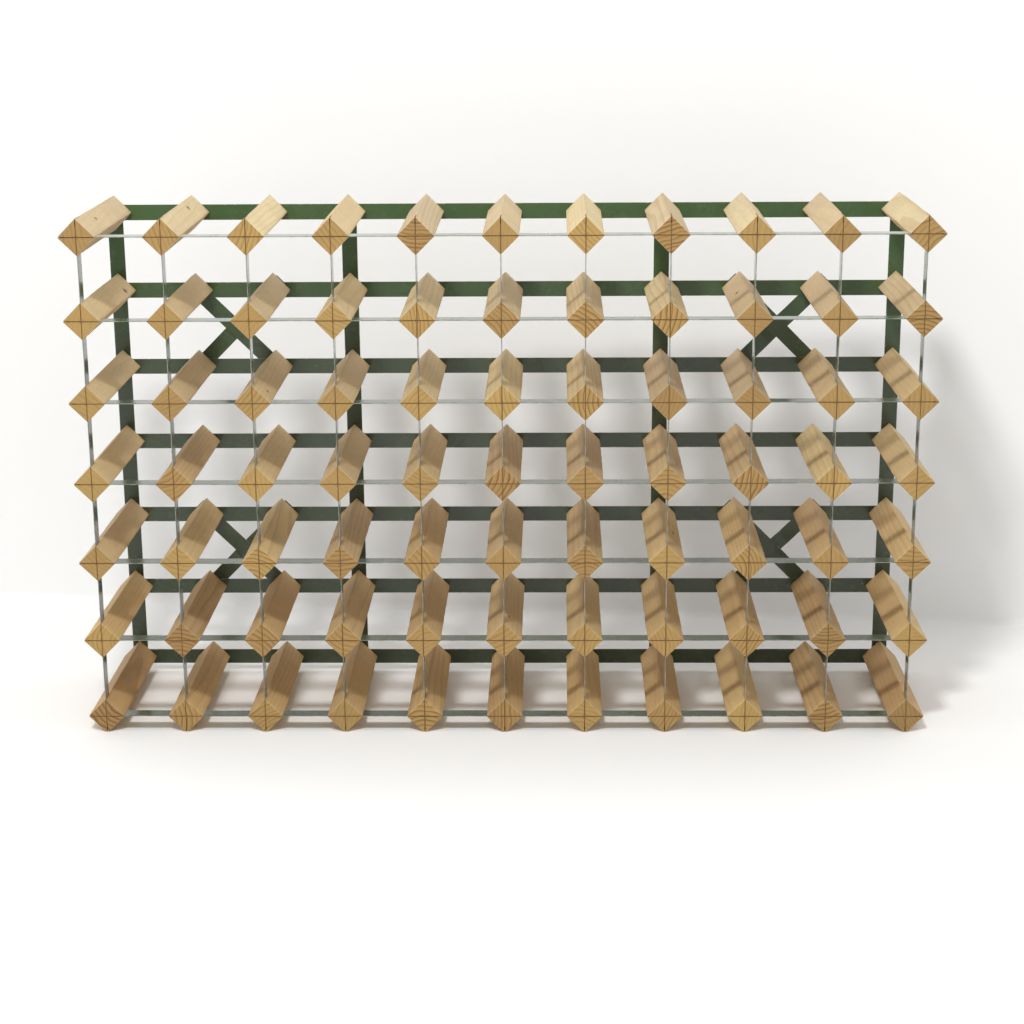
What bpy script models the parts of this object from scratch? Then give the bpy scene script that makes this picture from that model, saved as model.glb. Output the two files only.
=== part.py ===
"""Wine rack for sixty bottles: square pine bars set on edge, held by a lattice of thin steel strips.

At the front the strips stand on edge in saw kerfs across the bars' ends, half-lapped where they cross.
At the rear they lie flat on the bars' ends and are nailed: a cross strip for each row, then uprights
and crossed braces over them. Rows are counted from the top, columns from the left.

Metres, +Z up, bars' kerfed ends towards -Y, origin at the centre of the rack's footprint.
"""

import math

import bmesh
import bpy
from mathutils import Matrix, Vector

# Driving dimensions
COLUMNS = 11
ROWS = 7
PITCH = 0.0963  # bar centre to bar centre, across and up
BAR_SIDE = 0.0306
BAR_LENGTH = 0.222
ARRIS_FLAT = 0.0013  # width of the flat that eases each long edge of a bar
FOOT_FLAT = 0.0032  # the same on the lower edge of the bottom row, which the rack stands on
STRIP_WIDTH = 0.019
STRIP_GAUGE = 0.0009
KERF_WIDTH = 0.0015
KERF_DEPTH = 0.0195
FRONT_OVERRUN = 0.015  # front strips beyond the centres of the outermost bars
REAR_OVERRUN = 0.0095  # rear cross strips and uprights beyond their last nails
BRACE_OVERRUN = 0.016
STEP_START = 0.022  # where the upper brace of a pair starts to step back, from the crossing
STEP_END = 0.011  # and where it has cleared the lower one
NAIL_SHANK = 0.0021
NAIL_HEAD = 0.0050
NAIL_HEAD_HEIGHT = 0.0008
NAIL_ROOT = 0.006  # length of shank modelled inside the bar, whose solid it joins
NAIL_SIDES = 8
FIT_GAP = 0.0003  # left between pieces that bear on each other
UNION_BITE = 0.0001  # how far solids that are joined run into each other

# Where the rear strips go
UPRIGHT_COLUMNS = (1, 4, 8, 11)
BRACE_COLUMNS = ((2, 3), (9, 10))
BRACE_ROWS = ((2, 3), (5, 6))
SINGLE_BAR_ROWS = {1: "top", ROWS: "bottom"}  # rows whose bars are nodes of their own

# Worked out from these
HALF_DIAGONAL = BAR_SIDE / math.sqrt(2)
BOTTOM_AXIS = HALF_DIAGONAL - FOOT_FLAT / 2
LATTICE_WIDTH = (COLUMNS - 1) * PITCH
LATTICE_HEIGHT = (ROWS - 1) * PITCH
LAYER = STRIP_GAUGE + FIT_GAP
CROSS_STRIP_BACK = BAR_LENGTH + LAYER
UPRIGHT_FRONT = CROSS_STRIP_BACK + FIT_GAP
UPRIGHT_BACK = UPRIGHT_FRONT + STRIP_GAUGE
DEPTH = UPRIGHT_BACK + LAYER  # out to the brace that steps over its partner
FRONT_PLANE = -DEPTH / 2


def column_x(column):
    return (column - (COLUMNS + 1) / 2) * PITCH


def row_z(row):
    return BOTTOM_AXIS + (ROWS - row) * PITCH


def is_braced(column, row):
    in_columns = any(column in pair for pair in BRACE_COLUMNS)
    in_rows = any(row in pair for pair in BRACE_ROWS)
    return in_columns and in_rows


def nail_seat(column, row):
    """Distance behind the bars' front ends at which a nail's head bears on the outermost strip."""
    if column in UPRIGHT_COLUMNS or is_braced(column, row):
        return UPRIGHT_BACK + FIT_GAP
    if row in SINGLE_BAR_ROWS:
        return CROSS_STRIP_BACK + FIT_GAP
    return CROSS_STRIP_BACK - UNION_BITE


# ---------------------------------------------------------------- scene, materials, mesh helpers

def empty_scene():
    for old in list(bpy.data.objects):
        bpy.data.objects.remove(old, do_unlink=True)


def new_collection(name):
    collection = bpy.data.collections.new(name)
    bpy.context.scene.collection.children.link(collection)
    return collection


def new_material(name, colour, roughness, metallic):
    material = bpy.data.materials.new(name)
    material.use_nodes = True
    surface = material.node_tree.nodes["Principled BSDF"]
    surface.inputs["Base Color"].default_value = (*colour, 1.0)
    surface.inputs["Roughness"].default_value = roughness
    surface.inputs["Metallic"].default_value = metallic
    material.diffuse_color = (*colour, 1.0)
    return material


def mesh_from(bm, name, material):
    mesh = bpy.data.meshes.new(name)
    bm.to_mesh(mesh)
    bm.free()
    mesh.materials.append(material)
    return mesh


def shade_round(mesh):
    """Smooth shading over a turned piece's facets, with its rims kept sharp."""
    mesh.shade_smooth()
    mesh.set_sharp_from_angle(angle=math.radians(60))
    return mesh


def new_object(name, mesh, collection, location=(0.0, 0.0, 0.0), turn=0.0):
    """An object at a place in the rack, turned about its own front-to-back axis."""
    item = bpy.data.objects.new(name, mesh)
    item.location = location
    item.rotation_euler = (0.0, turn, 0.0)
    collection.objects.link(item)
    return item


def new_cutter(name, mesh, collection):
    cutter = new_object(name, mesh, collection)
    cutter.hide_render = True
    cutter.display_type = "WIRE"
    return cutter


def add_boolean(item, tool, operation):
    modifier = item.modifiers.new(operation.lower() + "_" + tool.name, "BOOLEAN")
    modifier.operation = operation
    modifier.solver = "EXACT"
    modifier.material_mode = "TRANSFER"
    modifier.object = tool


def fused_mesh(name, body, additions):
    """Join the additions to the body and keep only the mesh that comes out."""
    for addition in additions:
        add_boolean(body, addition, "UNION")
    bpy.context.view_layer.update()
    evaluated = body.evaluated_get(bpy.context.evaluated_depsgraph_get())
    mesh = bpy.data.meshes.new_from_object(evaluated)
    mesh.name = name
    for item in (body, *additions):
        bpy.data.objects.remove(item, do_unlink=True)
    return mesh


# ---------------------------------------------------------------- solids, each with y = 0 at the front

def add_box(bm, low, high):
    low, high = Vector(low), Vector(high)
    place = Matrix.Translation((low + high) / 2) @ Matrix.Diagonal((*(high - low), 1.0))
    bmesh.ops.create_cube(bm, size=1.0, matrix=place)


def add_bar(bm, x, foot_flat):
    """A square bar stood on one long edge, with all four long edges planed to narrow flats."""
    place = (
        Matrix.Translation((x, BAR_LENGTH / 2, 0.0))
        @ Matrix.Rotation(math.radians(45), 4, "Y")
        @ Matrix.Diagonal((BAR_SIDE, BAR_LENGTH, BAR_SIDE, 1.0))
    )
    verts = bmesh.ops.create_cube(bm, size=1.0, matrix=place)["verts"]
    edges = {edge for vert in verts for edge in vert.link_edges}
    long_edges = [e for e in edges if abs(e.verts[0].co.y - e.verts[1].co.y) > BAR_LENGTH / 2]
    foot = min(long_edges, key=lambda edge: edge.verts[0].co.z)
    others = [edge for edge in long_edges if edge is not foot]
    for group, flat in ((others, ARRIS_FLAT), ([foot], foot_flat)):
        offset = flat / math.sqrt(2)
        bmesh.ops.bevel(bm, geom=group, offset=offset, segments=1, affect="EDGES")


def add_nail(bm, x, seat):
    """A turned nail along +Y: the shank leaves the bar's rear end, the head lies behind the seat."""
    start = BAR_LENGTH - NAIL_ROOT
    end = seat + NAIL_HEAD_HEIGHT
    shank, head = NAIL_SHANK / 2, NAIL_HEAD / 2
    profile = ((0.0, start), (shank, start), (shank, seat), (head, seat), (head, end), (0.0, end))
    verts = [bm.verts.new((x + radius, y, 0.0)) for radius, y in profile]
    edges = [bm.edges.new(pair) for pair in zip(verts, verts[1:])]
    bmesh.ops.spin(
        bm, geom=verts + edges, cent=(x, 0.0, 0.0), axis=(0.0, 1.0, 0.0),
        angle=math.tau, steps=NAIL_SIDES, use_merge=True,
    )
    bmesh.ops.remove_doubles(bm, verts=bm.verts, dist=1e-6)
    bmesh.ops.recalc_face_normals(bm, faces=bm.faces)


# ---------------------------------------------------------------- cutters

def make_row_slabs(name, material, front, back, collection):
    """One flat slab through the centre of each row, over the rack's whole width."""
    bm = bmesh.new()
    reach, half = LATTICE_WIDTH, KERF_WIDTH / 2
    for row in range(1, ROWS + 1):
        z = row_z(row)
        add_box(bm, (-reach, front, z - half), (reach, back, z + half))
    return new_cutter(name, mesh_from(bm, name, material), collection)


def make_column_slabs(name, material, front, back, collection):
    """One upright slab through the centre of each column, over the rack's whole height."""
    bm = bmesh.new()
    reach, half = 2 * LATTICE_HEIGHT, KERF_WIDTH / 2
    for column in range(1, COLUMNS + 1):
        x = column_x(column)
        add_box(bm, (x - half, front, -reach), (x + half, back, reach))
    return new_cutter(name, mesh_from(bm, name, material), collection)


def make_nail_clearances(collection):
    """A round hole for every nail, through all the rear strips."""
    bm = bmesh.new()
    front, back = BAR_LENGTH - LAYER, UPRIGHT_BACK + LAYER
    for column in range(1, COLUMNS + 1):
        for row in range(1, ROWS + 1):
            centre = (column_x(column), FRONT_PLANE + (front + back) / 2, row_z(row))
            bmesh.ops.create_cone(
                bm, cap_ends=True, segments=NAIL_SIDES, radius1=NAIL_SHANK / 2 + FIT_GAP,
                radius2=NAIL_SHANK / 2 + FIT_GAP, depth=back - front,
                matrix=Matrix.Translation(centre) @ Matrix.Rotation(math.radians(90), 4, "X"),
            )
    return new_cutter("nail_clearances", mesh_from(bm, "nail_clearances", GREEN_PAINT), collection)


# ---------------------------------------------------------------- front lattice

def make_front_strips(parts, tools):
    """Strips on edge, flush with the bars' front ends, slotted to half their depth where they cross."""
    middle = FRONT_PLANE + STRIP_WIDTH / 2
    beyond = 2 * STRIP_WIDTH
    cross_slots = make_column_slabs(
        "cross_strip_slots", GREEN_PAINT, middle - FIT_GAP / 2, middle + beyond, tools)
    upright_slots = make_row_slabs(
        "upright_slots", GREEN_PAINT, middle - beyond, middle + FIT_GAP / 2, tools)
    gauge, half_width = STRIP_GAUGE / 2, LATTICE_WIDTH / 2 + FRONT_OVERRUN
    half_height = LATTICE_HEIGHT / 2 + FRONT_OVERRUN

    bm = bmesh.new()
    add_box(bm, (-half_width, 0.0, -gauge), (half_width, STRIP_WIDTH, gauge))
    cross_mesh = mesh_from(bm, "front_cross_strip", GREEN_PAINT)
    for row in range(1, ROWS + 1):
        place = (0.0, FRONT_PLANE, row_z(row))
        strip = new_object(f"front_cross_strip_{row}", cross_mesh, parts, place)
        add_boolean(strip, cross_slots, "DIFFERENCE")

    bm = bmesh.new()
    add_box(bm, (-gauge, 0.0, -half_height), (gauge, STRIP_WIDTH, half_height))
    upright_mesh = mesh_from(bm, "front_upright", GREEN_PAINT)
    for column in range(1, COLUMNS + 1):
        place = (column_x(column), FRONT_PLANE, BOTTOM_AXIS + LATTICE_HEIGHT / 2)
        strip = new_object(f"front_upright_{column:02d}", upright_mesh, parts, place)
        add_boolean(strip, upright_slots, "DIFFERENCE")


# ---------------------------------------------------------------- rear strips

def flat_strip_mesh(name, half_width, half_height, front, back):
    bm = bmesh.new()
    add_box(bm, (-half_width, front, -half_height), (half_width, back, half_height))
    return mesh_from(bm, name, GREEN_PAINT)


def make_rear_strips(parts, clearances):
    """The strips nailed flat on the bars: cross strips of the top and bottom rows, then uprights."""
    half = STRIP_WIDTH / 2
    cross_mesh = flat_strip_mesh(
        "rear_cross_strip", LATTICE_WIDTH / 2 + REAR_OVERRUN, half,
        BAR_LENGTH + FIT_GAP, CROSS_STRIP_BACK)
    for row, place_name in SINGLE_BAR_ROWS.items():
        place = (0.0, FRONT_PLANE, row_z(row))
        strip = new_object(f"rear_cross_strip_{place_name}", cross_mesh, parts, place)
        add_boolean(strip, clearances, "DIFFERENCE")

    upright_mesh = flat_strip_mesh(
        "rear_upright", half, LATTICE_HEIGHT / 2 + REAR_OVERRUN, UPRIGHT_FRONT, UPRIGHT_BACK)
    for column in UPRIGHT_COLUMNS:
        place = (column_x(column), FRONT_PLANE, BOTTOM_AXIS + LATTICE_HEIGHT / 2)
        strip = new_object(f"rear_upright_column_{column:02d}", upright_mesh, parts, place)
        add_boolean(strip, clearances, "DIFFERENCE")


def stepped_brace_mesh(half_length):
    """A flat strip that steps back by one layer over its middle, to pass over the plain brace."""
    outline = (
        (-half_length, 0.0), (-STEP_START, 0.0), (-STEP_END, LAYER),
        (STEP_END, LAYER), (STEP_START, 0.0), (half_length, 0.0),
    )
    bm = bmesh.new()
    verts = [bm.verts.new((s, UPRIGHT_FRONT + rise, -STRIP_WIDTH / 2)) for s, rise in outline]
    edges = [bm.edges.new(pair) for pair in zip(verts, verts[1:])]
    side = bmesh.ops.extrude_edge_only(bm, edges=edges)["geom"]
    moved = [item for item in side if isinstance(item, bmesh.types.BMVert)]
    bmesh.ops.translate(bm, verts=moved, vec=(0.0, 0.0, STRIP_WIDTH))
    bmesh.ops.recalc_face_normals(bm, faces=bm.faces)
    if bm.faces[:][0].normal.y < 0:
        bmesh.ops.reverse_faces(bm, faces=bm.faces)
    return mesh_from(bm, "stepped_brace", GREEN_PAINT)


def make_braces(parts, clearances):
    """Four crossed pairs of diagonals. The falling one lies flat, the rising one steps over it."""
    half_length = PITCH / math.sqrt(2) + BRACE_OVERRUN
    flat_mesh = flat_strip_mesh(
        "flat_brace", half_length, STRIP_WIDTH / 2, UPRIGHT_FRONT, UPRIGHT_BACK)
    stepped_mesh = stepped_brace_mesh(half_length)
    for side, columns in zip(("left", "right"), BRACE_COLUMNS):
        for level, rows in zip(("upper", "lower"), BRACE_ROWS):
            x = (column_x(columns[0]) + column_x(columns[1])) / 2
            z = (row_z(rows[0]) + row_z(rows[1])) / 2
            place = (x, FRONT_PLANE, z)
            falling = new_object(
                f"rear_brace_{side}_{level}_falling", flat_mesh, parts, place, math.radians(45))
            rising = new_object(
                f"rear_brace_{side}_{level}_rising", stepped_mesh, parts, place, math.radians(-45))
            gauge = rising.modifiers.new("gauge", "SOLIDIFY")
            gauge.thickness = STRIP_GAUGE
            gauge.offset = 1.0
            gauge.use_even_offset = True
            for brace in (falling, rising):
                add_boolean(brace, clearances, "DIFFERENCE")


# ---------------------------------------------------------------- bars

def nailed_bar_mesh(name, foot_flat, seat, tools):
    """One bar and the nail driven into its rear end."""
    bm = bmesh.new()
    add_bar(bm, 0.0, foot_flat)
    bar = new_object("bar", mesh_from(bm, "bar", PINE), tools)
    bm = bmesh.new()
    add_nail(bm, 0.0, seat)
    nail = new_object("nail", shade_round(mesh_from(bm, "nail", STEEL)), tools)
    return fused_mesh(name, bar, [nail])


def nailed_row_mesh(name, row, tools):
    """A row of bars with its rear cross strip nailed on, as one solid."""
    bm = bmesh.new()
    for column in range(1, COLUMNS + 1):
        add_bar(bm, column_x(column), ARRIS_FLAT)
    bars = new_object("bars", mesh_from(bm, "bars", PINE), tools)
    strip_mesh = flat_strip_mesh(
        "strip", LATTICE_WIDTH / 2 + REAR_OVERRUN, STRIP_WIDTH / 2,
        BAR_LENGTH - UNION_BITE, CROSS_STRIP_BACK)
    strip = new_object("strip", strip_mesh, tools)
    bm = bmesh.new()
    for column in range(1, COLUMNS + 1):
        add_nail(bm, column_x(column), nail_seat(column, row))
    nails = new_object("nails", shade_round(mesh_from(bm, "nails", STEEL)), tools)
    return fused_mesh(name, bars, [strip, nails])


def make_bars(parts, tools):
    """The top and bottom rows bar by bar, and each row between them as one unit."""
    front, back = FRONT_PLANE - KERF_DEPTH, FRONT_PLANE + KERF_DEPTH
    row_kerfs = make_row_slabs("row_kerfs", PINE, front, back, tools)
    column_kerfs = make_column_slabs("column_kerfs", PINE, front, back, tools)
    bars = []
    for row, place_name in SINGLE_BAR_ROWS.items():
        foot_flat = FOOT_FLAT if row == ROWS else ARRIS_FLAT
        meshes = {}
        for column in range(1, COLUMNS + 1):
            seat = nail_seat(column, row)
            if seat not in meshes:
                meshes[seat] = nailed_bar_mesh(f"{place_name}_bar", foot_flat, seat, tools)
            place = (column_x(column), FRONT_PLANE, row_z(row))
            name = f"{place_name}_bar_{column:02d}"
            bars.append(new_object(name, meshes[seat], parts, place))
    for row in range(1, ROWS + 1):
        if row not in SINGLE_BAR_ROWS:
            mesh = nailed_row_mesh(f"bar_row_{row}", row, tools)
            place = (0.0, FRONT_PLANE, row_z(row))
            bars.append(new_object(f"bar_row_{row}", mesh, parts, place))
    for bar in bars:
        add_boolean(bar, row_kerfs, "DIFFERENCE")
        add_boolean(bar, column_kerfs, "DIFFERENCE")


empty_scene()
PINE = new_material("pine", (0.52, 0.35, 0.17), 0.62, 0.0)
GREEN_PAINT = new_material("green_paint", (0.045, 0.085, 0.04), 0.30, 0.0)
STEEL = new_material("steel", (0.45, 0.44, 0.42), 0.42, 1.0)

rack = new_collection("wine_rack")
cutters = new_collection("cutters")
nail_holes = make_nail_clearances(cutters)
make_front_strips(rack, cutters)
make_rear_strips(rack, nail_holes)
make_braces(rack, nail_holes)
make_bars(rack, cutters)
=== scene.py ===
"""Wine rack of square pine bars set on edge. Their front ends are kerfed over a lattice of thin green
strips, and their rear ends are nailed to flat green strips. Metres, +Z up, kerfed ends towards -Y."""

import math

import bmesh
import bpy
import mathutils
import numpy as np
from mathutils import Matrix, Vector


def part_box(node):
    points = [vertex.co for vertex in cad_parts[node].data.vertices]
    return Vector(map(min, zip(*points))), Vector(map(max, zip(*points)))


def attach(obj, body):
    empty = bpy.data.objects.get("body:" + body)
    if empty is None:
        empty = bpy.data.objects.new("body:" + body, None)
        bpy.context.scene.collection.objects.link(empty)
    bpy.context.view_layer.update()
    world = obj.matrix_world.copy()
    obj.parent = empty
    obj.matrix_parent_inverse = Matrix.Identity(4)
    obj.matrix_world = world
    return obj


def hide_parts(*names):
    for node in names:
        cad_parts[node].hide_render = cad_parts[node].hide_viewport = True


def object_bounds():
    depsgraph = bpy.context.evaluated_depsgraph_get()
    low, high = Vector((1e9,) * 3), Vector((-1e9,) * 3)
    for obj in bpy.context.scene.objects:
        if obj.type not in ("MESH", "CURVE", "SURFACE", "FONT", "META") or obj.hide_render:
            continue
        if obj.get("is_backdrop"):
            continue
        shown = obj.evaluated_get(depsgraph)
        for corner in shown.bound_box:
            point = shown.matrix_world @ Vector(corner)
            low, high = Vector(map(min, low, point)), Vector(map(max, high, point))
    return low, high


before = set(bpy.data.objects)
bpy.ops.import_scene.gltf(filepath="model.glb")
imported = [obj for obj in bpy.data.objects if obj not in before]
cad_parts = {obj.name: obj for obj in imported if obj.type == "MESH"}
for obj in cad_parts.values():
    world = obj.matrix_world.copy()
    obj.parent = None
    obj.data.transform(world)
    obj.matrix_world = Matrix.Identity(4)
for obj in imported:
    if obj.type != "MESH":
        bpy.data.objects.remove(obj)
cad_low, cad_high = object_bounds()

# ================================================================ the pine bars
# Seventy-seven lengths of planed softwood, 30.6 mm square, standing on one long edge. The two saw
# cuts across each front end run corner to corner and take the strips of the lattice; the long edges
# are eased by hand sanding, a little more on some bars than on others.

ROWS, COLUMNS = 7, 11
MM, MICRON = 0.001, 1e-6
ARRIS_FLAT = 1.3 * MM  # planed flat on the part's long edges
FOOT_FLAT = 3.2 * MM  # and on the lower edge of the bottom row, which the rack stands on
KERF_HALF = 0.57 * MM  # half the width of a saw cut
KERF_DEPTH = 19.5 * MM
END_GAP = 0.3 * MM  # between a bar's rear end and the strip nailed over it
RIM = 0.4 * MM  # how far in from an end its edges are rubbed round
RIM_STEP = 0.12 * MM  # from an end to the one ring of points inside that rounding
LONG_STEPS = 34  # rings of points from the kerfs' floor to the rear rim
CROWN = 0.414  # height of a rounded long edge as a share of the kerf's half width
COLUMN_X = [sum(corner.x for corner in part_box(f"top_bar_{c:02d}")) / 2 for c in range(1, COLUMNS + 1)]
ROW_Z = [sum(corner.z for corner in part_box(f"front_cross_strip_{r}")) / 2 for r in range(1, ROWS + 1)]
FRONT_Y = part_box("top_bar_01")[0].y
BAR_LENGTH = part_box("rear_cross_strip_top")[0].y - END_GAP - FRONT_Y
HALF_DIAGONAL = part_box("top_bar_01")[1].z - ROW_Z[0] + ARRIS_FLAT / 2
EDGE_REACH = HALF_DIAGONAL - KERF_HALF + CROWN * KERF_HALF  # out to the crown of a rounded edge
END_ROWS = {1: "top", ROWS: "bottom"}  # the rows whose bars are single nodes


def welded(patches):
    """Joins grids of points into one skin. A patch is a grid of places and a grid of marks. Places
    that agree to a micron become one point, which keeps the larger of each mark, and a quad that has
    lost a side becomes a triangle."""
    places = np.concatenate([place.reshape(-1, 3) for place, _ in patches])
    marks = np.concatenate([mark.reshape(-1, mark.shape[-1]) for _, mark in patches])
    _, first, index = np.unique(
        np.round(places / MICRON).astype(np.int64), axis=0, return_index=True, return_inverse=True)
    index = index.ravel()
    shared = np.zeros((len(first), marks.shape[1]))
    np.maximum.at(shared, index, marks)
    quads, start = [], 0
    for place, _ in patches:
        rows, columns = place.shape[:2]
        grid = index[start:start + rows * columns].reshape(rows, columns)
        corners = [grid[:-1, :-1], grid[:-1, 1:], grid[1:, 1:], grid[1:, :-1]]
        quads.append(np.stack(corners, -1).reshape(-1, 4))
        start += rows * columns
    quads = np.concatenate(quads)
    same = quads == np.roll(quads, -1, axis=1)
    pinched = same.sum(axis=1) == 1
    order = (np.argmax(same[pinched], axis=1)[:, None] + np.array([1, 2, 3])) % 4
    faces = quads[~same.any(axis=1)].tolist() + np.take_along_axis(quads[pinched], order, 1).tolist()
    return places[first], shared, faces


def kerfed_bar():
    """The skin of one bar along +Y from y = 0, as patches on two parameters: across a side from edge
    to edge, and along the bar or in from one of its ends. The marks are end grain and painted shade in
    the saw kerfs."""
    reach = HALF_DIAGONAL - KERF_HALF
    run = np.array([0, 0.012, 0.045, 0.14, 0.32, 0.5, 0.68, 0.86, 0.955, 0.988, 1])[:, None]
    inward = np.array([0, 0.2, 0.45, 0.7, 0.9, 0.975, 1])[:, None]
    over = np.array([1, 0.55, 0, -0.55, -1]) * KERF_HALF
    crown = (EDGE_REACH - reach) * (1 - (over / KERF_HALF) ** 2)
    near = np.array([0, RIM_STEP, RIM, 5 * MM, 12 * MM, KERF_DEPTH])
    far = np.concatenate([
        np.linspace(KERF_DEPTH, BAR_LENGTH - RIM, LONG_STEPS), [BAR_LENGTH - RIM_STEP, BAR_LENGTH]])
    corner, right, top = np.array([[KERF_HALF, KERF_HALF], [reach, KERF_HALF], [KERF_HALF, reach]])
    side = top + run * (right - top)
    edge = np.stack([reach + crown, over], -1)

    def along(line, depths, marks):
        """A line in the cross-section carried along the bar: one row of points for each depth."""
        place = np.empty((len(depths), len(line), 3))
        place[..., 0], place[..., 1], place[..., 2] = line[:, 0], depths[:, None], line[:, 1]
        return place, np.broadcast_to(marks, (*place.shape[:2], 2))

    def fan(centre, rim, depth, marks):
        """Points at the same shares of the way from a centre out to each point of a line."""
        flat = centre + inward[:, :, None] * (rim - centre)
        return np.insert(flat, 1, depth, axis=2), np.broadcast_to(marks, (*flat.shape[:2], 2))

    def kerf_floor(across, outward):
        """The bottom of the saw cuts: a grid across the cut and outward from the bar's centre."""
        place = np.stack([outward, np.full_like(outward, KERF_DEPTH), across], -1)
        return place, np.broadcast_to((0.3, 0.6), (*place.shape[:2], 2))

    arm = KERF_HALF + inward * (reach - KERF_HALF) + (inward == 1) * crown
    kerf_shade_fade = np.clip((1 - inward) / 0.3, 0.15, 1)  # less painted shade in the cut near the bar's long edges
    kerf_wall_shade = np.column_stack([0 * inward, kerf_shade_fade])
    quarter = [
        along(side, near, (0.0, 0.0)), along(side, far, (0.0, 0.0)), along(edge, far, (0.0, 0.0)),
        along(corner + inward * (right - corner), near, kerf_wall_shade),
        along(corner + inward * (top - corner), near, kerf_wall_shade),
        fan(corner, side, 0.0, (1.0, 0.0)),
        fan(np.zeros(2), side, BAR_LENGTH, (1.0, 0.0)), fan(np.zeros(2), edge, BAR_LENGTH, (1.0, 0.0)),
        kerf_floor(np.broadcast_to(over, arm.shape), arm),
    ]
    patches = [kerf_floor(*np.meshgrid(over, over))]
    for turns in range(4):
        turn = np.linalg.matrix_power(np.array([[0, 1], [-1, 0]]), turns)
        for place, mark in quarter:
            turned = place.copy()
            turned[..., [0, 2]] = place[..., [0, 2]] @ turn
            patches.append((turned, mark))
    return welded(patches)


bar_places, bar_marks, bar_faces = kerfed_bar()

# How some bars lay in the log: distance in mm and direction of the pith from the bar's centre, seen
# from the front with 0 to the right and 90 up, and how strongly their growth rings show. The others
# are drawn by lot.
SAWN = {
    (1, 2): (70, 20, 0.7), (1, 3): (80, 165, 0.8), (1, 4): (60, 215, 0.7), (1, 5): (105, 84, 1.6),
    (1, 7): (75, 42, 0.7), (1, 8): (58, 286, 1.5), (1, 11): (70, 310, 1.0), (2, 4): (55, 60, 0.7),
    (2, 5): (70, 185, 0.9), (2, 6): (65, 222, 1.0), (2, 7): (38, 240, 1.2), (2, 8): (60, 170, 1.3),
    (2, 11): (46, 262, 1.2), (3, 3): (55, 140, 0.8), (3, 6): (60, 10, 0.7), (3, 7): (55, 5, 1.2),
    (4, 2): (60, 120, 0.9), (4, 6): (75, 158, 1.6), (4, 8): (34, 265, 0.9), (4, 9): (75, 165, 1.5),
    (4, 10): (60, 172, 0.8), (5, 3): (30, 250, 1.2), (5, 4): (90, 90, 1.0), (5, 5): (60, 215, 0.8),
    (5, 7): (32, 270, 1.1), (5, 9): (40, 200, 1.1), (5, 11): (90, 90, 0.9), (6, 2): (34, 265, 1.2),
    (6, 3): (40, 230, 1.0), (6, 4): (55, 60, 0.8), (6, 9): (70, 150, 1.0), (6, 10): (80, 95, 1.2),
    (7, 1): (52, 48, 1.5), (7, 2): (60, 185, 1.0), (7, 3): (60, 300, 0.9), (7, 5): (45, 268, 1.2),
    (7, 6): (90, 182, 1.0), (7, 8): (60, 150, 0.8), (7, 10): (60, 100, 1.3),
}
# How pale or dark a few bars are, where 1 is as far as a bar usually goes from the rest.
TONE = {
    (1, 1): -1.2, (1, 5): -1.0, (1, 6): -0.4, (1, 7): 1.7, (1, 8): -0.9, (2, 5): 1.0, (2, 6): -0.6,
    (2, 8): 1.0, (3, 2): -0.8, (4, 6): -1.3, (5, 4): -0.9, (6, 2): -1.6, (6, 3): -0.5, (7, 1): -1.2,
    (7, 11): -1.6,
}
# Knots: place in mm from the bar's centre and from its front end, and radius.
KNOTS = {
    (1, 2): ((7, 14.4), 150, 2.2), (1, 1): ((9, 12.4), 70, 1.6), (2, 1): ((15.4, 5.6), 182, 2.6),
    (2, 8): ((6, 15.4), 150, 2.0), (6, 6): ((5, 16.4), 42, 1.5), (4, 5): ((-4, 17.4), 60, 1.3),
    (2, 9): ((-11, 10.4), 120, 2.0), (5, 8): ((12, 9.4), 96, 1.8), (3, 3): ((14, 7.4), 34, 1.5),
}
NO_KNOT = ((0, 900), 0, 1)  # far outside the bar
SKIN = 0.6 * MM  # the depth over which the rounding of an end's rim dies away
EDGE_BAND = 2.2 * MM  # the depth over which the wear of a long edge dies away
WEAR_WAVES = (0.031, 0.012, 0.0055)  # a long edge's worn places come in waves of about these lengths
BAR_BOW = 0.45 * MM


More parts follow.
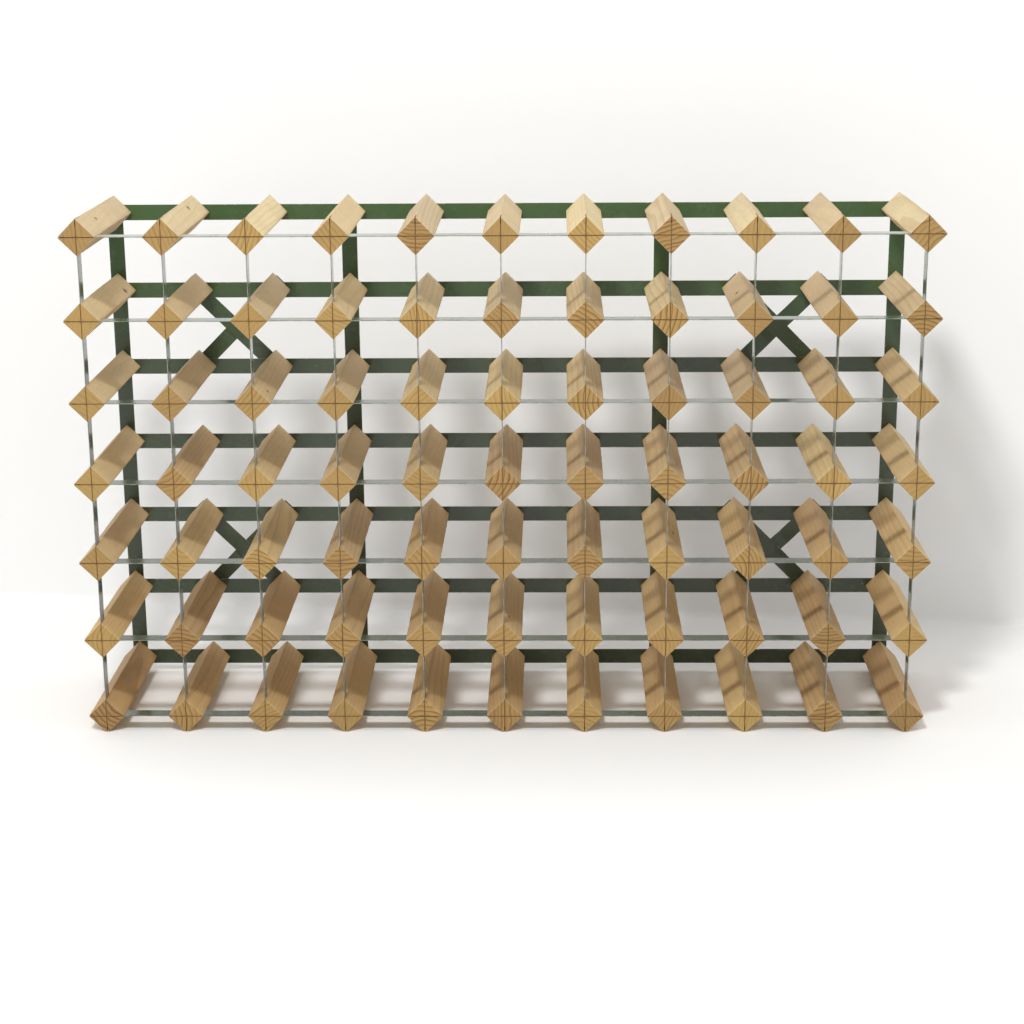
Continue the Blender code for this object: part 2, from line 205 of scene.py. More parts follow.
def bar_in_place(row, column):
    """One bar of the rack: the kerfed skin, swollen or shrunk by a hair, its ends' rims drawn in by a
    quarter circle, its long edges worn by slow waves and a few dents, bowed along a half sine, and
    moved to its row and column. Returns places and the values its finish is worked out from."""
    draw = np.random.default_rng(100 * row + column)
    x, y, z = bar_places.T.copy()
    flat = np.stack([x, z], -1)
    below = np.minimum(HALF_DIAGONAL - abs(x) - abs(z), EDGE_REACH - np.maximum(abs(x), abs(z)))
    skin = np.clip(1 - below / SKIN, 0, 1)
    from_end = np.minimum(y, BAR_LENGTH - y)
    drawn_in = RIM - np.sqrt(RIM ** 2 - np.clip(RIM - from_end, 0, RIM) ** 2)
    flat -= flat / np.maximum(np.hypot(x, z), MM)[:, None] * (skin * drawn_in)[:, None]

    start = np.clip((y - KERF_DEPTH) / (6 * MM), 0, 1)
    edge_nearness = np.zeros_like(x)
    for corner in ((1, 0), (0, 1), (-1, 0), (0, -1)):
        depth = EDGE_REACH - flat @ corner
        nearness = np.clip(1 - depth / EDGE_BAND, 0, 1)
        edge_nearness = np.maximum(edge_nearness, nearness)
        waves = sum(np.sin(y / length + draw.uniform(0, math.tau)) for length in WEAR_WAVES)
        worn = 0.16 + 0.07 * waves
        for _ in range(3):
            at, width = draw.uniform(0.03, 0.21), draw.uniform(2.5, 5) * MM
            worn = worn + draw.uniform(0, 0.5) * np.exp(-((y - at) / width) ** 2)
        flat -= np.outer(np.clip(worn, 0, 1) * MM * start * nearness ** 2, corner)

    flat *= 1 + draw.uniform(-0.012, 0.012)
    if row == ROWS:
        flat[:, 1] = np.maximum(flat[:, 1], FOOT_FLAT / 2 - HALF_DIAGONAL)
    bow = draw.uniform(-BAR_BOW, BAR_BOW, 2)
    if row == ROWS:
        bow[1] = abs(bow[1])
    flat += np.outer(np.sin(math.pi * y / BAR_LENGTH), bow)
    proud = draw.uniform(0.3, 0.8) * MM * np.clip(1 - y / KERF_DEPTH, 0, 1)
    places = np.stack([
        flat[:, 0] + COLUMN_X[column - 1], y - proud + FRONT_Y, flat[:, 1] + ROW_Z[row - 1]], -1)

    ring = draw.uniform(4.5, 6.2) * MM
    distance, bearing = draw.uniform(28, 95), draw.uniform(0, 360)
    strength = draw.uniform(0.2, 0.65)
    distance, bearing, strength = SAWN.get((row, column), (distance, bearing, strength))
    pith = distance * MM * np.array([math.cos(math.radians(bearing)), math.sin(math.radians(bearing))])
    slope = draw.uniform(-0.03, 0.03, 2)
    across = (np.stack([x, z], -1) - pith + np.outer(y, slope)) / ring
    growth = np.stack([across[:, 0], across[:, 1], y / ring + draw.uniform(0, 400)], -1)
    (knot_x, knot_z), knot_y, knot_radius = KNOTS.get((row, column), NO_KNOT)
    from_knot = (np.stack([x, y, z], -1) / MM - [knot_x, knot_y, knot_z]) / knot_radius
    cut = np.column_stack([bar_marks, edge_nearness])
    # Painted warm shade on the sides grows from the top row down, and the bottom row is darker.
    painted_warm_shade = 0.08 + 0.78 * (row - 1) / (ROWS - 1) + draw.normal(0, 0.07)
    tone = TONE.get((row, column), draw.normal(0, 1)) - (0.5 if row == ROWS else 0.0)
    nature = np.tile([tone, strength, max(painted_warm_shade, 0)], (len(x), 1))
    return places, {"growth": growth, "from_knot": from_knot, "cut": cut, "nature": nature}


def put(data):
    """An object at the origin that shows a mesh, a lamp or a camera, under the same name."""
    item = bpy.data.objects.new(data.name, data)
    bpy.context.scene.collection.objects.link(item)
    return item


def new_piece(name, places, faces, values=None):
    """A mesh object, its faces turned outward, smooth but for edges sharper than 40 degrees, with its
    named values kept on its points."""
    mesh = bpy.data.meshes.new(name)
    mesh.from_pydata(places.tolist(), [], faces)
    skin = bmesh.new()
    skin.from_mesh(mesh)
    bmesh.ops.recalc_face_normals(skin, faces=skin.faces)
    skin.to_mesh(mesh)
    skin.free()
    mesh.shade_smooth()
    mesh.set_sharp_from_angle(angle=math.radians(40))
    for key, value in (values or {}).items():
        kind = "FLOAT_VECTOR" if value.ndim == 2 else "FLOAT"
        mesh.attributes.new(key, kind, "POINT").data.foreach_set(
            "vector" if value.ndim == 2 else "value", value.ravel())
    return put(mesh)


def feed(tree, socket, value):
    """Links a socket to the one that feeds it, or else sets its value."""
    if isinstance(value, bpy.types.NodeSocket):
        tree.links.new(value, socket)
    else:
        socket.default_value = value


def add_node(tree, kind, settings=None, **inputs):
    """One shader node with its settings; an input is a value or the socket that feeds it, and its name
    is the socket's with _ for a space, or in_ and its number."""
    node = tree.nodes.new("ShaderNode" + kind)
    for key, value in (settings or {}).items():
        setattr(node, key, value)
    for key, value in inputs.items():
        socket = int(key[3:]) if key.startswith("in_") else key.replace("_", " ")
        feed(tree, node.inputs[socket], value)
    return node


def calc(tree, operation, *terms, clamp=False):
    """A Math node's result."""
    inputs = {f"in_{n}": term for n, term in enumerate(terms)}
    return add_node(tree, "Math", {"operation": operation, "use_clamp": clamp}, **inputs).outputs[0]


def mix(tree, share, a, b, blend="MIX"):
    """Colour a turned towards colour b by a share."""
    a, b = [(*c, 1.0) if isinstance(c, tuple) and len(c) == 3 else c for c in (a, b)]
    settings = {"data_type": "RGBA", "blend_type": blend}
    return add_node(tree, "Mix", settings, in_0=share, in_6=a, in_7=b).outputs[2]


def stretch(tree, vector, scale):
    """A vector with each of its parts multiplied."""
    return add_node(tree, "VectorMath", {"operation": "MULTIPLY"}, in_0=vector, in_1=scale).outputs[0]


def length_of(tree, vector):
    """A vector's length."""
    return add_node(tree, "VectorMath", {"operation": "LENGTH"}, in_0=vector).outputs["Value"]


def noise(tree, vector, scale, detail=3.0, roughness=0.5):
    """Smooth noise of about 0.3 to 0.7."""
    return add_node(
        tree, "TexNoise", Vector=vector, Scale=scale, Detail=detail, Roughness=roughness).outputs["Fac"]


def between(tree, value, low, high, to_low=0.0, to_high=1.0):
    """A value carried smoothly from one range to another and held at its ends."""
    return add_node(tree, "MapRange", {"interpolation_type": "SMOOTHSTEP"}, in_0=value, in_1=low,
                    in_2=high, in_3=to_low, in_4=to_high).outputs[0]


def ramp(tree, value, *stops):
    """Grey level as a function of a value, straight between the stops."""
    node = add_node(tree, "ValToRGB", Fac=value)
    elements = node.color_ramp.elements
    while len(elements) < len(stops):
        elements.new(0.5)
    for element, (position, level) in zip(elements, stops):
        element.position, element.color = position, (level, level, level, 1.0)
    return node.outputs["Color"]


def attribute(tree, name, output="Vector"):
    """A value kept on the mesh's points."""
    return add_node(tree, "Attribute", {"attribute_name": name}).outputs[output]


def new_group(name, inputs, outputs):
    """An empty shader node group with its sockets; returns its tree, input node and output node."""
    tree = bpy.data.node_groups.new(name, "ShaderNodeTree")
    for socket, value in inputs.items():
        made = tree.interface.new_socket(socket, in_out="INPUT", socket_type="NodeSocketFloat")
        made.default_value = value
    for socket in outputs:
        tree.interface.new_socket(socket, in_out="OUTPUT", socket_type="NodeSocketFloat")
    return tree, tree.nodes.new("NodeGroupInput"), tree.nodes.new("NodeGroupOutput")


def use_group(tree, group, **inputs):
    """The outputs of a node group, with _ for each space in the names of its inputs."""
    return add_node(tree, "Group", {"node_tree": group}, **inputs).outputs


def new_material(name):
    """A material, its tree and the node that holds its surface settings."""
    material = bpy.data.materials.new(name)
    material.use_nodes = True
    tree = material.node_tree
    return material, tree, tree.nodes["Principled BSDF"]


# Dust and finger marks lie on wood, paint and steel alike: broad patches broken up by fine specks.
handled, ins, outs = new_group(
    "handled_surface", {"Patch Scale": 20.0, "Speck Scale": 400.0}, ["Patches", "Specks"])
place = add_node(handled, "TexCoord").outputs["Object"]
patches = noise(handled, place, ins.outputs["Patch Scale"], 4.0, 0.6)
specks = noise(handled, place, ins.outputs["Speck Scale"], 2.0)
handled.links.new(between(handled, patches, 0.35, 0.65), outs.inputs["Patches"])
handled.links.new(between(handled, specks, 0.62, 0.74), outs.inputs["Specks"])

# Unfinished pine, yellowed by age. Growth rings are cylinders round the pith in the log's own
# coordinates, so the same rings show as arcs on the sawn ends and as long figure on the sides.
pine, tree, surface = new_material("pine")
growth, cut, nature = attribute(tree, "growth"), attribute(tree, "cut"), attribute(tree, "nature")
end_grain, kerf, near_edge = add_node(tree, "SeparateXYZ", Vector=cut).outputs
tone, strength, painted_warm_shade = add_node(tree, "SeparateXYZ", Vector=nature).outputs
knot_distance = length_of(tree, stretch(tree, attribute(tree, "from_knot"), (1.0, 0.62, 1.0)))
knot_pull = between(tree, knot_distance, 0.6, 4.5, 1.0, 0.0)
wander = calc(tree, "SUBTRACT", noise(tree, stretch(tree, growth, (0.16, 0.16, 0.022)), 1.0, 2.0), 0.5)
ripple = calc(tree, "SUBTRACT", noise(tree, stretch(tree, growth, (1.1, 1.1, 0.06)), 1.0, 2.0), 0.5)
from_pith = length_of(tree, stretch(tree, growth, (1.0, 1.0, 0.0)))
rings = calc(tree, "ADD", from_pith, calc(tree, "MULTIPLY", wander, 1.9))
rings = calc(tree, "ADD", rings, calc(tree, "MULTIPLY", ripple, 0.13))
rings = calc(tree, "ADD", rings, calc(tree, "MULTIPLY", knot_pull, 0.9))
season = calc(tree, "FRACT", rings)
each_ring = add_node(tree, "TexWhiteNoise", {"noise_dimensions": "1D"}, W=calc(tree, "FLOOR", rings))
late = ramp(tree, season, (0.0, 0.0), (0.34, 0.08), (0.64, 0.36), (0.85, 1.0), (0.93, 0.92), (1.0, 0.0))
late = calc(tree, "MULTIPLY", late, between(tree, each_ring.outputs["Value"], 0.0, 1.0, 0.45, 1.0))
late = calc(tree, "MULTIPLY", late, strength, clamp=True)
fibre = noise(tree, stretch(tree, growth, (7.0, 7.0, 0.22)), 1.0, 4.0, 0.62)
pores = between(tree, noise(tree, stretch(tree, growth, (17.0, 17.0, 0.75)), 1.0, 2.0), 0.63, 0.74)
marks = use_group(tree, handled, Patch_Scale=14.0, Speck_Scale=520.0)

side_colour = mix(tree, late, (0.61, 0.490, 0.290), (0.515, 0.378, 0.195))
end_colour = mix(tree, late, (0.405, 0.260, 0.092), (0.225, 0.105, 0.033))
colour = mix(tree, end_grain, side_colour, end_colour)
shade = calc(tree, "MULTIPLY_ADD", calc(tree, "SUBTRACT", fibre, 0.5), 0.42, 1.0)
shade = calc(tree, "MULTIPLY", shade, calc(tree, "MULTIPLY_ADD", tone, 0.07, 1.0))
shade = calc(tree, "MULTIPLY", shade, between(tree, marks["Patches"], 0.0, 1.0, 0.95, 1.03))
shade = calc(tree, "MULTIPLY", shade, calc(tree, "MULTIPLY_ADD", pores, -0.16, 1.0))
yellower = calc(tree, "MULTIPLY", shade, calc(tree, "MULTIPLY_ADD", tone, 0.018, 1.0))
shade_colour = add_node(tree, "CombineColor", Red=shade, Green=yellower, Blue=shade).outputs[0]
colour = mix(tree, 1.0, colour, shade_colour, "MULTIPLY")
# Painted warm shade on the sides of the lower rows, for light bounced between the bars.
painted_warm_shade_share = calc(tree, "MULTIPLY", painted_warm_shade, calc(tree, "SUBTRACT", 1.0, end_grain), clamp=True)
colour = mix(tree, painted_warm_shade_share, colour, mix(tree, 1.0, colour, (0.98, 0.80, 0.57), "MULTIPLY"))
knot_core = between(tree, knot_distance, 0.75, 1.25, 1.0, 0.0)
knot_halo = between(tree, knot_distance, 0.9, 2.6, 0.45, 0.0)
colour = mix(tree, knot_halo, colour, (0.36, 0.19, 0.075))
colour = mix(tree, knot_core, colour, (0.12, 0.05, 0.02))
grime = calc(tree, "MULTIPLY", near_edge, between(tree, fibre, 0.40, 0.66, 0.0, 0.5))
colour = mix(tree, grime, colour, (0.33, 0.20, 0.10))
# Painted shade in the saw kerfs: walls and floor darkened where the strips sit in them.
colour = mix(tree, calc(tree, "MULTIPLY", kerf, 0.88), colour, (0.30, 0.175, 0.066))
tree.links.new(colour, surface.inputs["Base Color"])
rough = calc(tree, "MULTIPLY_ADD", late, -0.10, 0.62)
rough = calc(tree, "MULTIPLY_ADD", end_grain, 0.16, rough)
rough = calc(tree, "MULTIPLY_ADD", marks["Patches"], 0.07, rough)
tree.links.new(rough, surface.inputs["Roughness"])
surface.inputs["Specular IOR Level"].default_value = 0.35
height = calc(tree, "MULTIPLY_ADD", late, 0.5, calc(tree, "MULTIPLY", fibre, 0.8))
height = calc(tree, "MULTIPLY_ADD", pores, -0.6, height)
height = calc(tree, "MULTIPLY_ADD", knot_core, 0.5, height)
height = calc(tree, "MULTIPLY_ADD", calc(tree, "MULTIPLY", end_grain, marks["Specks"]), -0.8, height)
grain_bump = add_node(tree, "Bump", Height=height, Strength=0.55, Distance=0.00022)
tree.links.new(grain_bump.outputs["Normal"], surface.inputs["Normal"])

for row in range(1, ROWS + 1):
    bars = [bar_in_place(row, column) for column in range(1, COLUMNS + 1)]
    end = END_ROWS.get(row)
    if end:
        made = [
            (new_piece(f"pine_bar_{end}_{n:02d}", places, bar_faces, values), f"{end}_bar_{n:02d}")
            for n, (places, values) in enumerate(bars, 1)]
    else:
        places = np.concatenate([places for places, _ in bars])
        values = {key: np.concatenate([each[key] for _, each in bars]) for key in bars[0][1]}
        faces = [[v + n * len(bar_places) for v in face] for n in range(COLUMNS) for face in bar_faces]
        made = [(new_piece(f"pine_bars_row_{row}", places, faces, values), f"bar_row_{row}")]
    for piece, node in made:
        piece.data.materials.append(pine)
        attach(piece, "root")
        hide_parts(node)

# ================================================================ the front lattice
# Mild steel strip, 19 by 0.9 mm, enamelled dark green before cutting, set on edge. Seven cross strips
# are slotted from behind and eleven uprights from in front, each to half their width, so they close
# into one another inside the bars' kerfs. Between bars the thin strip is never quite straight.

STRIP_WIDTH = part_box("front_upright_01")[1].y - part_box("front_upright_01")[0].y
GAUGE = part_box("front_upright_01")[1].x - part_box("front_upright_01")[0].x
BOW_STEPS = 10  # grid steps from one bar to the next
STRIP_ROUND = 0.12 * MM  # rounding of a slit edge
# The most that a strip bows between bars.
CROSS_BOW, UPRIGHT_BOW, NAILED_BOW, BRACE_BOW = 0.22 * MM, 0.28 * MM, 0.12 * MM, 0.04 * MM


def strip_grid(stops, start, run, side, draw, bow, slots=(), half_slotted="far", lift=None):
    """The middle surface of a strip: start + s.run + w.side + h.face, with s along it and w across it.
    The height h is a bow and a lean that follow a squared sine from stop to stop, each of its own
    size, plus a lift given as a function of s. Cells inside a slot, on the slotted half of the width,
    are left out. Values on its points grow from 0 to 1 at its edges, and inside the bars' kerfs."""
    fine = [np.linspace(a, b, BOW_STEPS + 1)[:-1] for a, b in zip(stops, stops[1:])]
    reaches = (KERF_HALF, HALF_DIAGONAL - MM, HALF_DIAGONAL)
    breaks = [slot + way * reach for slot in slots for way in (-1, 1) for reach in reaches]
    s = np.unique(np.round(np.concatenate([*fine, [stops[-1]], breaks]), 7))
    s = s[(s >= stops[0]) & (s <= stops[-1])]
    w = np.array([0, 0.035, 0.12, 0.3, 0.5, 0.7, 0.88, 0.965, 1]) * STRIP_WIDTH
    span = np.clip(np.searchsorted(stops, s, "right") - 1, 0, len(stops) - 2)
    humps, leans = draw.uniform(-bow, bow, (2, len(stops) - 1))
    stops = np.asarray(stops)
    share = (s - stops[span]) / (stops[span + 1] - stops[span])
    wave = np.sin(math.pi * share) ** 2
    height = (humps[span] * wave)[:, None] + np.outer(leans[span] * wave, w / STRIP_WIDTH - 0.5)
    if lift is not None:
        height = height + lift(s)[:, None]
    run, side = np.asarray(run, float), np.asarray(side, float)
    face = np.cross(run, side)
    places = np.asarray(start) + s[:, None, None] * run + w[None, :, None] * side
    places = places + height[..., None] * face
    grid = np.arange(places[..., 0].size).reshape(places.shape[:2])
    quads = np.stack([grid[:-1, :-1], grid[1:, :-1], grid[1:, 1:], grid[:-1, 1:]], -1)
    middle_s, middle_w = (s[1:] + s[:-1]) / 2, (w[1:] + w[:-1]) / 2
    in_slot = np.zeros(len(middle_s), bool)
    for slot in slots:
        in_slot |= abs(middle_s - slot) < KERF_HALF
    in_half = (middle_w > STRIP_WIDTH / 2) == (half_slotted == "far")
    quads = quads[~np.logical_and.outer(in_slot, in_half)]
    used, index = np.unique(quads, return_inverse=True)
    rim = np.clip(1 - np.minimum(w, STRIP_WIDTH - w) / (0.12 * STRIP_WIDTH), 0, 1)
    rim = np.maximum(rim[None, :], (np.minimum(s - s[0], s[-1] - s) < MICRON)[:, None])
    from_bar = np.min([abs(s - slot) for slot in slots] or [np.full_like(s, 1.0)], axis=0)
    in_kerf = np.clip((HALF_DIAGONAL - from_bar) / MM, 0, 1)[:, None] + 0 * rim
    values = {"rim": rim.ravel()[used], "in_kerf": in_kerf.ravel()[used]}
    return places.reshape(-1, 3)[used], index.reshape(quads.shape).tolist(), values


def strip_piece(name, grid):
    """A strip of sheet from its middle surface, given its gauge and very slightly rounded edges. Its
    faces are enamelled and its slit edges are bare."""
    places, faces, values = grid
    mesh = bpy.data.meshes.new(name)
    mesh.from_pydata(places.tolist(), [], faces)
    for key, value in values.items():
        mesh.attributes.new(key, "FLOAT", "POINT").data.foreach_set("value", value)
    piece = put(mesh)
    gauge = piece.modifiers.new("gauge", "SOLIDIFY")
    gauge.thickness, gauge.offset, gauge.use_even_offset = GAUGE, 0.0, True
    gauge.material_offset_rim = 1
    edges = piece.modifiers.new("edges", "BEVEL")
    edges.width, edges.segments, edges.limit_method = STRIP_ROUND, 2, "ANGLE"
    edges.angle_limit = math.radians(50)
    mesh.shade_smooth()
    mesh.materials.append(enamel)
    mesh.materials.append(slit_edge)
    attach(piece, "root")
    return piece


# Enamel wears first along the strip's edges, where bottles and hands rub it, and leaves grey steel
# with a little rust; elsewhere it has small chips, a faint orange peel and rubbed, duller patches.
edge_wear, ins, outs = new_group("edge_wear", {"Edge": 0.0, "Scale": 120.0, "Amount": 0.5}, ["Bare"])
place = add_node(edge_wear, "TexCoord").outputs["Object"]
broken = noise(edge_wear, place, ins.outputs["Scale"], 5.0, 0.62)
reached = calc(edge_wear, "MULTIPLY_ADD", ins.outputs["Edge"], ins.outputs["Amount"], broken)
edge_wear.links.new(between(edge_wear, reached, 0.80, 0.86), outs.inputs["Bare"])

enamel, tree, surface = new_material("green_enamel")
place = add_node(tree, "TexCoord").outputs["Object"]
marks = use_group(tree, handled, Patch_Scale=16.0, Speck_Scale=900.0)
bare = use_group(tree, edge_wear, Edge=attribute(tree, "rim", "Fac"), Scale=150.0, Amount=0.27)["Bare"]
chips = between(tree, noise(tree, place, 260.0, 3.0, 0.55), 0.735, 0.75)
bare = calc(tree, "MAXIMUM", bare, chips)
rust = between(tree, noise(tree, place, 700.0, 3.0), 0.5, 0.62)
green = mix(tree, marks["Patches"], (0.047, 0.096, 0.030), (0.059, 0.112, 0.040))
level = add_node(tree, "SeparateXYZ", Vector=place).outputs["Z"]
painted_shade_below_top = between(tree, level, 0.38, 0.56, 0.75, 0.0)  # painted shade: all but the top strips are greyer
green = mix(tree, painted_shade_below_top, green, (0.062, 0.076, 0.056))
green = mix(tree, calc(tree, "MULTIPLY", marks["Specks"], 0.25), green, (0.22, 0.25, 0.19))
metal = mix(tree, rust, (0.30, 0.29, 0.27), (0.17, 0.075, 0.03))
tree.links.new(mix(tree, bare, green, metal), surface.inputs["Base Color"])
surface.inputs["IOR"].default_value = 1.3  # dull face on, and bright where it is seen at a low angle
surface.inputs["Coat Weight"].default_value = 1.0
surface.inputs["Coat IOR"].default_value = 1.3
surface.inputs["Coat Roughness"].default_value = 0.14
rough = calc(tree, "MULTIPLY_ADD", marks["Patches"], 0.10, 0.20)
rough = calc(tree, "MULTIPLY_ADD", bare, 0.22, rough)
tree.links.new(rough, surface.inputs["Roughness"])
metallic = calc(tree, "MULTIPLY", bare, calc(tree, "MULTIPLY_ADD", rust, -0.8, 0.8))
tree.links.new(metallic, surface.inputs["Metallic"])
peel = noise(tree, place, 900.0, 1.0)
height = calc(tree, "MULTIPLY_ADD", bare, -1.2, calc(tree, "MULTIPLY", peel, 0.35))
peel_bump = add_node(tree, "Bump", Height=height, Strength=0.35, Distance=0.0001)
tree.links.new(peel_bump.outputs["Normal"], surface.inputs["Normal"])

# The slit edges: dull steel with paint left in patches, and painted shade, wood-brown, inside the
# kerfs.
slit_edge, tree, surface = new_material("slit_edge")
place = add_node(tree, "TexCoord").outputs["Object"]
painted_over = between(tree, noise(tree, place, 95.0, 4.0, 0.6), 0.47, 0.55)
painted_kerf_shade = attribute(tree, "in_kerf", "Fac")
dull = mix(tree, noise(tree, place, 600.0), (0.20, 0.20, 0.185), (0.36, 0.36, 0.34))
dull = mix(tree, calc(tree, "MULTIPLY", painted_over, 0.6), dull, (0.06, 0.11, 0.05))
tree.links.new(mix(tree, painted_kerf_shade, dull, (0.225, 0.122, 0.038)), surface.inputs["Base Color"])
tree.links.new(calc(tree, "MULTIPLY_ADD", painted_kerf_shade, 0.35, 0.42), surface.inputs["Roughness"])
edge_bump = add_node(tree, "Bump", Height=noise(tree, place, 1200.0), Strength=0.4, Distance=0.0001)
tree.links.new(edge_bump.outputs["Normal"], surface.inputs["Normal"])

draw = np.random.default_rng(7)
low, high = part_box("front_cross_strip_1")
for row, z in enumerate(ROW_Z, 1):
    stops = [low.x, *COLUMN_X, high.x]
    start = (0, FRONT_Y, z)
    grid = strip_grid(stops, start, (1, 0, 0), (0, 1, 0), draw, CROSS_BOW, COLUMN_X, "far")
    piece = strip_piece(f"lattice_cross_strip_{row}", grid)
    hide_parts(f"front_cross_strip_{row}")
low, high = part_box("front_upright_01")
for column, x in enumerate(COLUMN_X, 1):
    stops = [low.z, *ROW_Z[::-1], high.z]
    start = (x, FRONT_Y, 0)
    grid = strip_grid(stops, start, (0, 0, 1), (0, 1, 0), draw, UPRIGHT_BOW, ROW_Z, "near")
    piece = strip_piece(f"lattice_upright_{column:02d}", grid)
    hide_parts(f"front_upright_{column:02d}")

# ================================================================ the nailed back
# The same strip, laid flat. A cross strip runs along the rear ends of every row of bars, uprights lie
# over it on four columns, and four crossed pairs of diagonals brace the rack; the rising strip of each
# pair is bent back over the falling one. One nail holds each bar through every strip that crosses it.

UPRIGHTS = (1, 4, 8, 11)  # the columns with a strip up the back
CROSS_Y = sum(corner.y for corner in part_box("rear_cross_strip_top")) / 2
UPRIGHT_Y = sum(corner.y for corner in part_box("rear_upright_column_01")) / 2
half = STRIP_WIDTH / 2
low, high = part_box("rear_cross_strip_top")
for row, z in enumerate(ROW_Z, 1):
    stops = [low.x, *COLUMN_X, high.x]
    start = (0, CROSS_Y, z - half)
    grid = strip_grid(stops, start, (1, 0, 0), (0, 0, 1), draw, NAILED_BOW)
    piece = strip_piece(f"nailed_cross_strip_{row}", grid)
    end = END_ROWS.get(row)
    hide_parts(f"rear_cross_strip_{end}" if end else f"bar_row_{row}")
low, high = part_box("rear_upright_column_01")
for column in UPRIGHTS:
    stops = [low.z, *ROW_Z[::-1], high.z]
    start = (COLUMN_X[column - 1] - half, UPRIGHT_Y, 0)
    grid = strip_grid(stops, start, (0, 0, 1), (1, 0, 0), draw, NAILED_BOW)
    piece = strip_piece(f"nailed_upright_{column:02d}", grid)
    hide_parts(f"rear_upright_column_{column:02d}")

BEND_OUT, BEND_IN = 23 * MM, 11 * MM  # from the crossing, where the bent strip leaves and clears
for hand in ("left", "right"):
    for level in ("upper", "lower"):
        for slant, rise in (("falling", -1), ("rising", 1)):
            node = f"rear_brace_{hand}_{level}_{slant}"
            low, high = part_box(node)
            centre = ((low.x + high.x) / 2, UPRIGHT_Y, (low.z + high.z) / 2)
            length = (high.x - low.x) * math.sqrt(2) - STRIP_WIDTH
            run = np.array([1, 0, rise]) / math.sqrt(2)
            side = np.array([rise, 0, -1]) / math.sqrt(2)
            step = high.y - low.y - GAUGE
            start = np.array(centre) - side * half

            def lift(s, step=step, face=np.cross(run, side)[1]):
                """A rounded step back over the strip beneath: nothing, a cosine rise, then level."""
                turn = np.clip((BEND_OUT - abs(s)) / (BEND_OUT - BEND_IN), 0, 1)
                return step * face * (1 - np.cos(math.pi * turn)) / 2

            stops = [-length / 2, -BEND_OUT, -BEND_IN, BEND_IN, BEND_OUT, length / 2]
            grid = strip_grid(stops, start, run, side, draw, BRACE_BOW, lift=lift)
            piece = strip_piece(f"nailed_brace_{hand}_{level}_{slant}", grid)
            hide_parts(node)

# Round wire nails, their flat heads bearing on the outermost strip, a little domed and no longer
# bright: dull steel, browned where damp has reached it.
NAIL_PROFILE = MM * np.array([
    [0, 0], [2.35, 0], [2.5, 0.15], [2.5, 0.45], [2.3, 0.66], [1.5, 0.78], [0, 0.82]])
NAIL_SIDES = 14


def nail_head(x, seat, z):
    """A profile of radius and height turned about +Y through one nail: angle by profile step."""
    angle = np.linspace(0, math.tau, NAIL_SIDES + 1)[:, None]
    radius, height = NAIL_PROFILE.T
    place = np.stack([
        x + radius * np.round(np.cos(angle), 12), seat + height + 0 * angle,
        z + radius * np.round(np.sin(angle), 12)], -1)
    return place, np.zeros((*place.shape[:2], 1))


steel, tree, surface = new_material("nail_steel")
place = add_node(tree, "TexCoord").outputs["Object"]
marks = use_group(tree, handled, Patch_Scale=90.0, Speck_Scale=1500.0)
rust = between(tree, noise(tree, place, 420.0, 4.0, 0.6), 0.48, 0.66)
dull = mix(tree, marks["Patches"], (0.36, 0.35, 0.33), (0.24, 0.23, 0.22))
tree.links.new(mix(tree, rust, dull, (0.13, 0.055, 0.025)), surface.inputs["Base Color"])
tree.links.new(calc(tree, "MULTIPLY_ADD", rust, -0.85, 0.95), surface.inputs["Metallic"])
tree.links.new(calc(tree, "MULTIPLY_ADD", rust, 0.35, 0.38), surface.inputs["Roughness"])
height = calc(tree, "ADD", rust, marks["Specks"])
nail_bump = add_node(tree, "Bump", Height=height, Strength=0.4, Distance=0.0001)
tree.links.new(nail_bump.outputs["Normal"], surface.inputs["Normal"])

BRACED_COLUMNS, BRACED_ROWS = (2, 3, 9, 10), (2, 3, 5, 6)  # where a brace ends over a bar
for row, z in enumerate(ROW_Z, 1):
    heads = []
    for column, x in enumerate(COLUMN_X, 1):
        doubled = column in UPRIGHTS or (column in BRACED_COLUMNS and row in BRACED_ROWS)
        seat = (UPRIGHT_Y if doubled else CROSS_Y) + GAUGE / 2
        heads.append(nail_head(x, seat, z))
    places, _, faces = welded(heads)
    piece = new_piece(f"nails_row_{row}", places, faces)
    piece.data.materials.append(steel)
    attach(piece, "root")
    end = END_ROWS.get(row)
    nodes = [f"{end}_bar_{n:02d}" for n in range(1, COLUMNS + 1)] if end else [f"bar_row_{row}"]
    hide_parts(*nodes)

# ================================================================ studio
# A white floor runs back to a white wall with a small cove between them. The wall is seen from in
# front only, so the rack can be walked round.

WALL_BEHIND = 0.2455  # from the rack's back to the wall's foot, at the middle
WALL_TURN = math.radians(5.0)
WALL_HEIGHT, WALL_HALF_WIDTH, FLOOR_HALF_WIDTH = 3.2, 4, 6
COVE = 0.01


def backdrop():
    """A profile of depth and height carried sideways: floor level to the cove, a quarter circle, and
    then straight up."""
    turn = np.linspace(0, math.pi / 2, 9)
    depth = np.concatenate([COVE * (np.sin(turn) - 1), [0.0]])
    height = np.concatenate([COVE * (1 - np.cos(turn)), [WALL_HEIGHT]])
    wide = np.linspace(-WALL_HALF_WIDTH, WALL_HALF_WIDTH, 9)[:, None]
    foot = cad_high.y + WALL_BEHIND + COVE / 2
    place = np.stack([
        wide * math.cos(WALL_TURN) + depth * math.sin(WALL_TURN),
        foot + depth * math.cos(WALL_TURN) - wide * math.sin(WALL_TURN), height + 0 * wide], -1)
    return place[::-1], np.zeros((*place.shape[:2], 1))


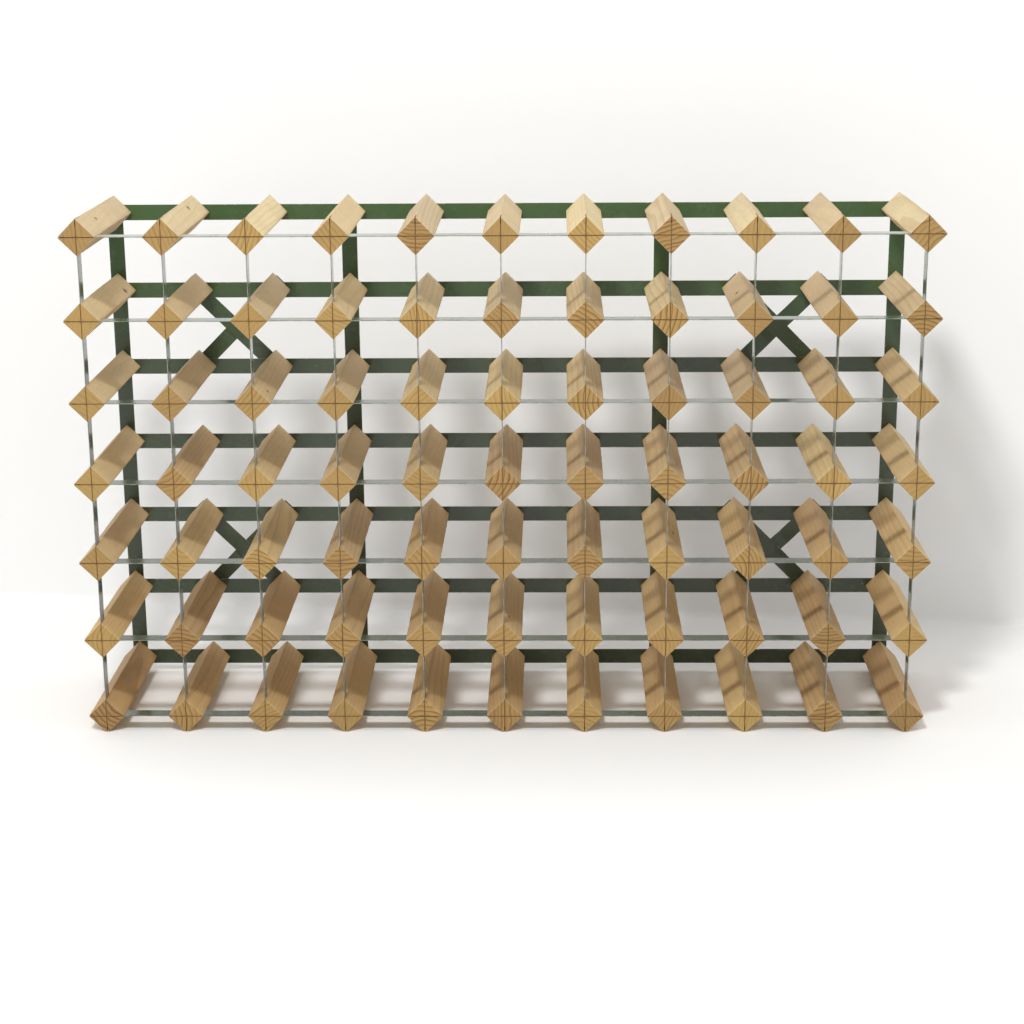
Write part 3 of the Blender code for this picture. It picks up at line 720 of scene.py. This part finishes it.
painted, tree, surface = new_material("studio_white")
place = add_node(tree, "TexCoord").outputs["Object"]
white = mix(tree, noise(tree, place, 1.5), (0.92, 0.92, 0.915), (0.94, 0.94, 0.935))
tree.links.new(white, surface.inputs["Base Color"])
surface.inputs["Roughness"].default_value = 0.85
wall_paint = painted.copy()
wall_paint.name = "studio_wall"
tree = wall_paint.node_tree
see_through = add_node(tree, "BsdfTransparent")
one_way = add_node(tree, "MixShader", in_0=add_node(tree, "NewGeometry").outputs["Backfacing"],
                   in_1=tree.nodes["Principled BSDF"].outputs[0], in_2=see_through.outputs[0])
tree.links.new(one_way.outputs[0], tree.nodes["Material Output"].inputs["Surface"])

places, _, faces = welded([backdrop()])
mesh = bpy.data.meshes.new("studio_wall")
mesh.from_pydata(places.tolist(), [], faces)
mesh.shade_smooth()
mesh.materials.append(wall_paint)
wall = put(mesh)
wall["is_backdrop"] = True
mesh = bpy.data.meshes.new("studio_floor")
places = FLOOR_HALF_WIDTH * np.array([(-1, -1, 0), (1, -1, 0), (1, 1, 0), (-1, 1, 0)])
mesh.from_pydata(places.tolist(), [], [(0, 1, 2, 3)])
mesh.materials.append(painted)
floor = put(mesh)
floor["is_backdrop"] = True

# A soft lamp high in front, a little to the left, a broad one overhead and pale walls all round.
key = bpy.data.lights.new("key", "AREA")
key.shape, key.energy, key.size, key.size_y = "ELLIPSE", 44.5, 0.40, 0.36
key_lamp = put(key)
key_lamp.location = (-0.38, -1.76, 2.5)
aim = mathutils.Vector((0.0, 0.0, 0.3)) - key_lamp.location  # at the middle of the rack
key_lamp.rotation_euler = aim.to_track_quat("-Z", "Y").to_euler()
top = bpy.data.lights.new("overhead", "AREA")
top.energy, top.size, top.shape = 10.0, 2.4, "SQUARE"
put(top).location = (0.0, -0.2, 2.3)
room = bpy.data.worlds.new("room")
room.use_nodes = True
glow = room.node_tree.nodes["Background"].inputs
glow["Color"].default_value, glow["Strength"].default_value = (1.0, 1.0, 1.0, 1.0), 0.59
bpy.context.scene.world = room

camera_data = bpy.data.cameras.new("camera")
camera_data.lens, camera_data.sensor_width, camera_data.shift_y = 74.96, 36.0, 0.0488
camera = put(camera_data)
camera.location = (0.0624, -2.5233, 0.9280)
camera.rotation_euler = [math.radians(angle) for angle in (73.501, 0.400, 1.122)]
bpy.context.scene.camera = camera
bpy.context.scene.view_settings.view_transform = "Standard"

low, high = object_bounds()
